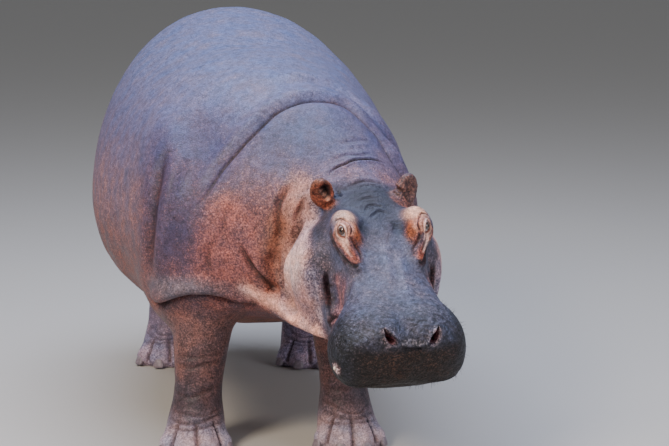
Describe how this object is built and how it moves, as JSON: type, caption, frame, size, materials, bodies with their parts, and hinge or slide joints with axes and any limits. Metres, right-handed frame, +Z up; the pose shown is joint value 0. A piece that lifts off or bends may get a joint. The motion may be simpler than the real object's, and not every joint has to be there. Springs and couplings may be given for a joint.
{
  "type": "hippopotamus",
  "caption": "Life-size standing hippopotamus with a barrel trunk, lowered head turned slightly to its left, short legs and a hanging tail.",
  "frame": {"origin": "floor level, at the middle of the bounding box", "axes": "+Z up, the animal faces -Y, its left side is towards +X"},
  "size_m": [1.2024, 2.9554, 1.5201],
  "materials": {
    "hide": "bare wet-sheened skin, slate grey to pinkish brown",
    "eyeball": "glossy, dark brown"
  },
  "bodies": {
    "root": {"trunk": "hide", "neck": "hide", "head": "hide", "lower_jaw": "hide", "ear_left": "hide", "ear_right": "hide", "eye_left": "eyeball", "eye_right": "eyeball", "foreleg_left": "hide", "foreleg_right": "hide", "hindleg_left": "hide", "hindleg_right": "hide", "tail": "hide"}
  },
  "joints": []
}
